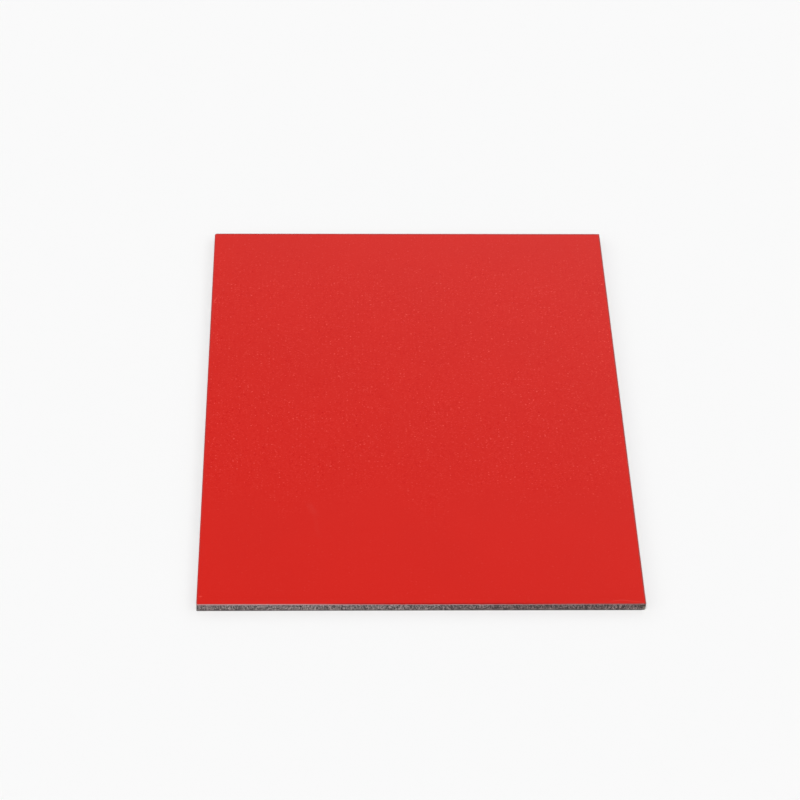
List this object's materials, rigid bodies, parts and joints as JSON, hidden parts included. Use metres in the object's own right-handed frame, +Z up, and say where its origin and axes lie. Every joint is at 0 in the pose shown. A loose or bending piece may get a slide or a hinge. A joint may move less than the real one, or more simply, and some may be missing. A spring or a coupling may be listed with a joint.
{
  "type": "aluminium composite panel",
  "caption": "Flat rectangular sample of aluminium composite panel: thin coated aluminium sheets bonded to a plastic core, with square cut edges.",
  "frame": {"origin": "middle of the underside, on the surface that the panel lies on", "axes": "+X to the right across the panel, +Y along it from the front cut edge to the back one, +Z up from the back sheet to the coated face"},
  "size_m": [0.21, 0.297, 0.004],
  "materials": {
    "face_coating": "satin",
    "core_plastic": "matte",
    "service_coating": "satin"
  },
  "bodies": {
    "root": {"face_sheet": "face_coating", "core": "core_plastic", "back_sheet": "service_coating"}
  },
  "joints": []
}
